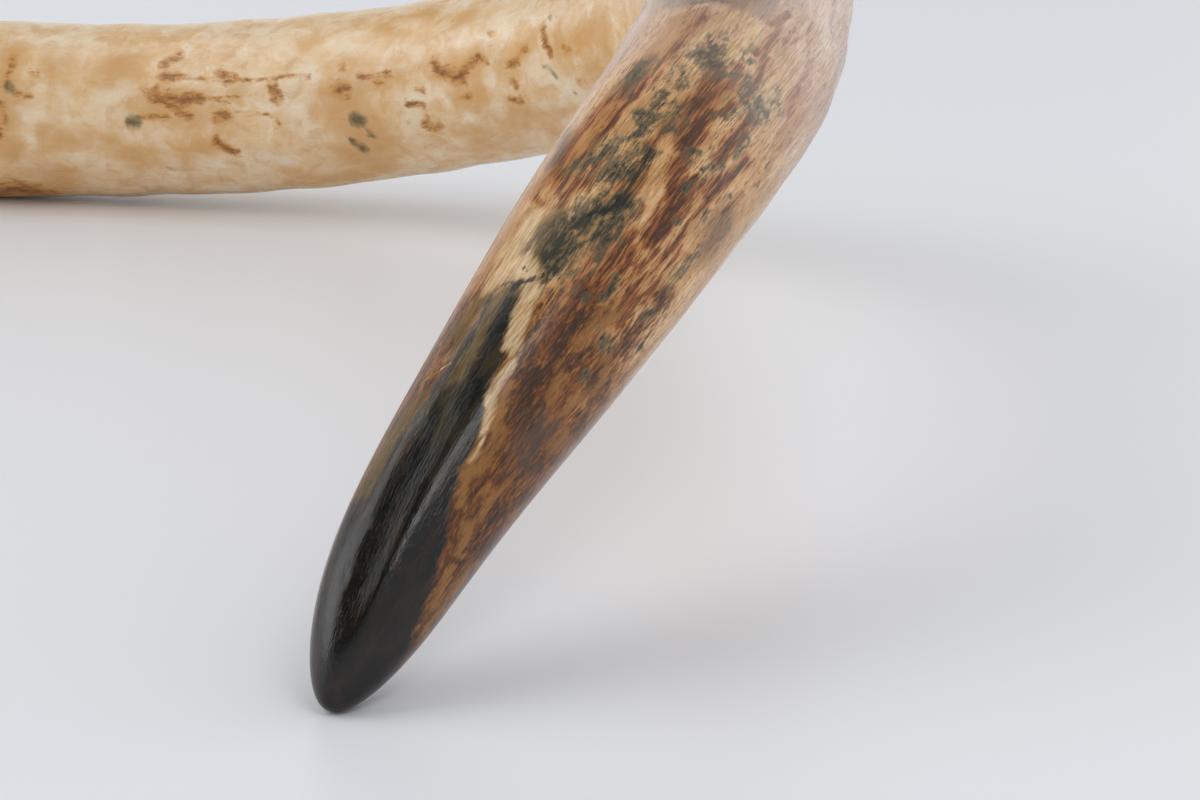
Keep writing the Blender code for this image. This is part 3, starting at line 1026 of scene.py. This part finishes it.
class Ivory(Wires):
    """The polished ivory's colour, gloss and grooves, laid stain over stain."""

    def __init__(self, tree, fibre, ragged):
        super().__init__(tree)
        self.fibre = fibre
        self.ragged = ragged
        self.straight = self.place_of("straight")
        self.s = self.add("ShaderNodeSeparateXYZ", {0: self.straight}).outputs["X"]
        winding = {"Vector": self.straight, "Angle": self.times(self.s, FIBRE_WINDING)}
        self.wound = self.add("ShaderNodeVectorRotate", winding, rotation_type="X_AXIS").outputs[0]
        self.back = self.step(self.s, 0.40, 0.75)
        self.hairs = self.grain(0.015, 0.00080, 2.6, 0.66, 0.1, 21.0)
        self.dashes = self.grain(0.0052, 0.00072, 2.6, 0.66, 0.2, 24.0)
        self.strands = {"hairs": self.hairs, "dashes": self.dashes}
        self.clouds = self.grain(0.060, 0.012, 5.0, 0.55, 0.4, 3.0)
        self.patches = {}

    def grain(self, length, width, detail, rough, wander, seed, place=None):
        """Noise along the winding fibres, or straight along the tusk."""
        place = self.wound if place is None else place
        sockets = {"Place": place, "Length": length, "Width": width, "Detail": detail}
        sockets.update({"Roughness": rough, "Wander": wander, "Seed": seed})
        return self.group(self.fibre, sockets)["Amount"]

    def lay(self, amount, strength, tint):
        """Lays a tint over the look so far."""
        self.look = self.blend(self.times(amount, strength), self.look, colour(*tint))

    def stain(self, kind):
        """Lays one kind of stain: its glow, body and core, as far as their tints are given."""
        patches, (patchiness, strands, hairiness, softness), *tints = DRAWN[kind]
        self.patches[kind] = self.grain(*patches)
        sockets = {"Field": self.value_of(kind), "Patches": self.patches[kind], "Patchiness": patchiness}
        sockets.update({"Hairs": self.strands[strands], "Hairiness": hairiness, "Softness": softness})
        layers = self.group(self.ragged, sockets)
        for name, (strength, *tint) in zip(("Glow", "Body", "Core"), tints):
            self.lay(layers[name], strength, tint)
        return layers["Body"]

    def lay_ground(self):
        """Warm cream, orange tan towards the tip, peach above it, pale beyond the bend."""
        cloudy = self.step(self.clouds, 0.38, 0.62)
        warm = self.blend(cloudy, colour(0.81, 0.540, 0.280), colour(0.72, 0.400, 0.155))
        tan = self.blend(cloudy, colour(0.36, 0.155, 0.030), colour(0.22, 0.078, 0.012))
        peach = self.blend(cloudy, colour(0.72, 0.510, 0.350), colour(0.64, 0.395, 0.240))
        drift = self.step(self.grain(0.035, 0.016, 3.0, 0.50, 0.4, 6.0), 0.36, 0.64)
        pale = self.blend(drift, colour(0.84, 0.665, 0.450), colour(0.80, 0.560, 0.310))
        ground = self.blend(self.step(self.s, 0.09, 0.20, 1.0, 0.0), warm, tan)
        ground = self.blend(self.step(self.s, 0.23, 0.31), ground, peach)
        self.look = self.blend(self.back, ground, pale)

    def lay_bands(self):
        """Soft honey bands and puffs that cross the pale part, then fine fibres along it all."""
        bands = self.grain(0.020, 0.024, 3.0, 0.50, 0.6, 5.0, self.straight)
        puffs = self.grain(0.011, 0.009, 5.0, 0.62, 0.5, 8.0, self.straight)
        self.lay(self.times(self.back, self.step(bands, 0.44, 0.70)), 0.45, (0.72, 0.43, 0.18))
        self.lay(self.times(self.back, self.step(puffs, 0.48, 0.68)), 0.45, (0.60, 0.31, 0.10))
        self.lay(self.times(self.back, self.step(puffs, 0.47, 0.33)), 0.60, (0.88, 0.765, 0.600))
        threads = self.times(self.step(self.hairs, 0.58, 0.36), self.step(self.s, 0.36, 0.70, 1.0, 0.10))
        self.lay(threads, 0.47, (0.38, 0.122, 0.022))

    def lay_pale_stains(self):
        """Honey clouds, brown marks in a warm halo, and dark spots."""
        self.stain("honey")
        soft = self.math("SUBTRACT", self.patches["honey"], 0.5)
        halo = self.step(self.math("ADD", self.value_of("mark"), soft), -0.50, 0.30)
        self.lay(halo, 0.60, (0.64, 0.310, 0.070))
        self.stain("mark")
        self.stain("spot")

    def lay_streaks(self):
        """Orange warmth, red-brown streaks and fine flecks, then mottle, tan windows and green."""
        self.stain("orange")
        self.stain("red")
        flecks = self.math("ADD", self.dashes, self.times(self.patches["red"], 0.5))
        front = self.math("SUBTRACT", 1.0, self.back)
        self.lay(self.times(self.step(flecks, 0.83, 0.90), front), 0.75, (0.150, 0.044, 0.012))
        for kind in ("brown", "grey", "tan", "green"):
            self.stain(kind)

    def lay_dark_zone(self):
        """The polished dark zone, brown black, whose fringe thins into streaks, and olive runs."""
        self.dark = self.stain("dark")
        nearer = self.step(self.s, 0.06, 0.10)
        brown = self.blend(nearer, colour(0.020, 0.0096, 0.0035), colour(0.042, 0.028, 0.0090))
        depths = self.step(self.grain(0.026, 0.0060, 5.0, 0.6, 0.5, 105.0), 0.44, 0.64)
        deep = self.blend(depths, colour(0.0035, 0.0034, 0.0025), brown)
        self.look = self.blend(self.dark, self.look, deep)
        self.stain("olive")

    def lay_cream(self):
        """Paler ivory over the stains above the bend, then clean cream runs."""
        wash = self.times(self.step(self.s, 0.22, 0.30), self.step(self.s, 0.70, 0.45))
        self.lay(wash, 0.22, (0.66, 0.45, 0.31))
        runs = self.stain("cream")
        clean = self.step(self.hairs, 0.40, 0.56)
        creamy = self.blend(clean, colour(0.66, 0.420, 0.205), colour(0.80, 0.600, 0.370))
        self.look = self.blend(self.times(runs, 0.70), self.look, creamy)

    def lay_tone(self):
        """Slow changes of tone and the finest strands over it all, then black lines on top."""
        strands = self.step(self.hairs, 0.34, 0.60, 0.86, 1.05)
        tone = self.math("ADD", strands, self.step(self.clouds, 0.36, 0.64, 0.06, -0.08))
        tone = self.between(self.back, tone, 1.0)
        shade = self.add("ShaderNodeCombineColor", {0: tone, 1: tone, 2: tone}).outputs[0]
        self.look = self.blend(1.0, self.look, shade, "MULTIPLY")
        self.lay(self.stain("line"), 0.90, (0.010, 0.010, 0.008))

    def roughness(self):
        """Glossier in the dark zone."""
        rub = self.grain(0.05, 0.006, 4.0, 0.6, 0.2, 121.0)
        plain = self.step(rub, 0.3, 0.7, 0.19, 0.29)
        return self.between(self.dark, plain, self.step(rub, 0.3, 0.7, 0.15, 0.22))

    def height(self):
        """Fine grooves along the fibres, tiny pits, and ripples in the dark zone, in metres."""
        depth = self.step(self.dark, 0.0, 1.0, 0.00003, 0.00007)
        grooves = self.times(self.step(self.hairs, 0.30, 0.60), depth)
        cells = {"Vector": self.straight, "Scale": 260.0, "Randomness": 1.0}
        cells = self.add("ShaderNodeTexVoronoi", cells, feature="F1").outputs["Distance"]
        scatter = self.step(self.grain(0.02, 0.012, 3.0, 0.5, 0.2, 131.0), 0.52, 0.62)
        pits = self.times(self.times(self.step(cells, 0.06, 0.22), 0.00008), scatter)
        ripple = self.times(self.grain(0.0040, 0.0026, 3.0, 0.60, 0.3, 141.0), self.dark)
        ripple = self.times(ripple, 0.00016)
        return self.math("ADD", self.math("ADD", grooves, pits), ripple)


def make_ivory(fibre, ragged):
    material, shader = new_material("polished old ivory")
    ivory = Ivory(material.node_tree, fibre, ragged)
    ivory.lay_ground()
    ivory.lay_bands()
    ivory.lay_pale_stains()
    ivory.lay_streaks()
    ivory.lay_dark_zone()
    ivory.lay_cream()
    ivory.lay_tone()
    ivory.put(shader["Base Color"], ivory.look)
    ivory.put(shader["Roughness"], ivory.roughness())
    ivory.put(shader["IOR"], 1.46)
    ivory.put(shader["Normal"], ivory.bump(ivory.height(), 0.5))
    return material


def make_sawn():
    """The saw cut: pale growth rings, fine crossing lines, a stained rim and mouth."""
    material, shader = new_material("sawn ivory")
    w = Wires(material.node_tree)
    split = w.add("ShaderNodeSeparateXYZ", {0: w.place_of("straight")}).outputs
    flat = w.add("ShaderNodeCombineXYZ", {"Y": split["Y"], "Z": split["Z"]}).outputs[0]
    reach = w.vector("LENGTH", flat, result="Value")
    wobble = w.add("ShaderNodeTexNoise", {"Vector": flat, "Scale": 60.0, "Detail": 4.0}).outputs["Fac"]
    bent = w.math("ADD", reach, w.times(wobble, 0.004))
    rings = w.math("SINE", w.times(bent, RINGS_OUTWARDS))
    spokes = w.times(w.math("ARCTAN2", split["Z"], split["Y"]), CROSSING_AROUND)
    spiral = w.times(reach, CROSSING_OUTWARDS)
    left = w.math("SINE", w.math("ADD", spokes, spiral))
    right = w.math("SINE", w.math("SUBTRACT", spokes, spiral))
    cross = w.times(left, right)
    look = w.blend(w.step(rings, -0.6, 1.0, 0.0, 0.45), colour(0.66, 0.50, 0.32), colour(0.46, 0.29, 0.15))
    look = w.blend(w.step(cross, 0.0, 1.0, 0.0, 0.22), look, colour(0.36, 0.23, 0.12))
    rim = w.math("ADD", reach, w.times(w.math("SUBTRACT", wobble, 0.5), 0.012))
    look = w.blend(w.step(rim, 0.047, 0.053, 0.0, 0.75), look, colour(0.20, 0.11, 0.05))
    look = w.blend(w.step(rim, 0.033, 0.037, 0.65, 0.0), look, colour(0.22, 0.12, 0.055))
    w.put(shader["Base Color"], look)
    w.put(shader["Roughness"], 0.5)
    w.put(shader["Normal"], w.bump(w.times(w.math("ADD", rings, cross), 0.00002), 0.7))
    return material


def make_hollow(fibre):
    """The pulp hollow: dull brown, ringed and streaked inwards."""
    material, shader = new_material("pulp hollow")
    w = Wires(material.node_tree)
    straight = w.place_of("straight")
    streaks = w.group(fibre, {"Place": straight, "Length": 0.03, "Width": 0.003, "Detail": 5.0})["Amount"]
    rings = w.group(fibre, {"Place": straight, "Length": 0.004, "Width": 0.05, "Detail": 3.0})["Amount"]
    look = w.blend(w.step(streaks, 0.35, 0.65), colour(0.30, 0.18, 0.09), colour(0.14, 0.075, 0.035))
    look = w.blend(w.step(rings, 0.45, 0.65, 0.0, 0.4), look, colour(0.09, 0.05, 0.025))
    w.put(shader["Base Color"], look)
    w.put(shader["Roughness"], 0.72)
    w.put(shader["Normal"], w.bump(w.times(w.math("ADD", streaks, rings), 0.0004), 0.5))
    return material


def make_floor():
    mesh = bpy.data.meshes.new("floor")
    reach = 14.0
    corners = ((-reach, -reach, 0.0), (reach, -reach, 0.0), (reach, reach, 0.0), (-reach, reach, 0.0))
    mesh.from_pydata(corners, [], [(0, 1, 2, 3)])
    floor = bpy.data.objects.new("floor", mesh)
    bpy.context.scene.collection.objects.link(floor)
    material, shader = new_material("pale floor")
    shader["Base Color"].default_value = (0.865, 0.88, 0.91, 1.0)
    shader["Roughness"].default_value = 0.34
    shader["Specular IOR Level"].default_value = 0.25
    mesh.materials.append(material)


def make_light(name, place, target, size, strength):
    data = bpy.data.lights.new(name, "AREA")
    data.shape = "RECTANGLE"
    data.size = size[0]
    data.size_y = size[1]
    data.energy = strength
    light = bpy.data.objects.new(name, data)
    light.location = place
    light.rotation_mode = "QUATERNION"
    light.rotation_quaternion = Vector(np.subtract(target, place)).to_track_quat("-Z", "Y")
    bpy.context.scene.collection.objects.link(light)


def make_world():
    """Pale walls that darken upwards, with brighter and dimmer stretches."""
    world = bpy.data.worlds.new("soft studio")
    world.use_nodes = True
    bpy.context.scene.world = world
    w = Wires(world.node_tree)
    place = w.add("ShaderNodeTexCoord").outputs["Generated"]
    height = w.add("ShaderNodeSeparateXYZ", {0: place}).outputs["Z"]
    sky = w.blend(w.step(height, 0.0, 0.8), colour(0.84, 0.855, 0.88), colour(0.55, 0.56, 0.575))
    for way, first, last, cover, tint in STRETCHES:
        towards = w.vector("DOT_PRODUCT", place, way, "Value")
        sky = w.blend(w.step(towards, first, last, 0.0, cover), sky, colour(*tint))
    background = world.node_tree.nodes["Background"].inputs
    w.put(background["Color"], sky)
    w.put(background["Strength"], 1.0)


def make_camera():
    data = bpy.data.cameras.new("camera")
    data.sensor_width = 36.0
    data.lens = 100.0
    data.clip_end = 60.0
    camera = bpy.data.objects.new("camera", data)
    camera.location = (0.432, -1.416, 0.336)
    camera.rotation_euler = (math.radians(76.0), 0.0, 0.0)
    bpy.context.scene.collection.objects.link(camera)
    bpy.context.scene.camera = camera


make_camera()
fibre = make_fibre_group()
ragged = make_ragged_group()
tusk = build_tusk()
tusk.data.materials.append(make_ivory(fibre, ragged))
tusk.data.materials.append(make_sawn())
tusk.data.materials.append(make_hollow(fibre))
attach(tusk, "root")
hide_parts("tusk")

make_floor()
make_world()
make_light("right softbox", (1.25, -1.62, 2.10), (0.42, -0.30, 0.1), (0.9, 0.7), 7.6)
make_light("left panel", (-2.64, 0.15, 2.65), (0.38, -0.34, 0.08), (4.2, 3.4), 61.5)

settings = bpy.context.scene.view_settings
settings.view_transform = "Standard"
settings.look = "None"
settings.exposure = 0.0
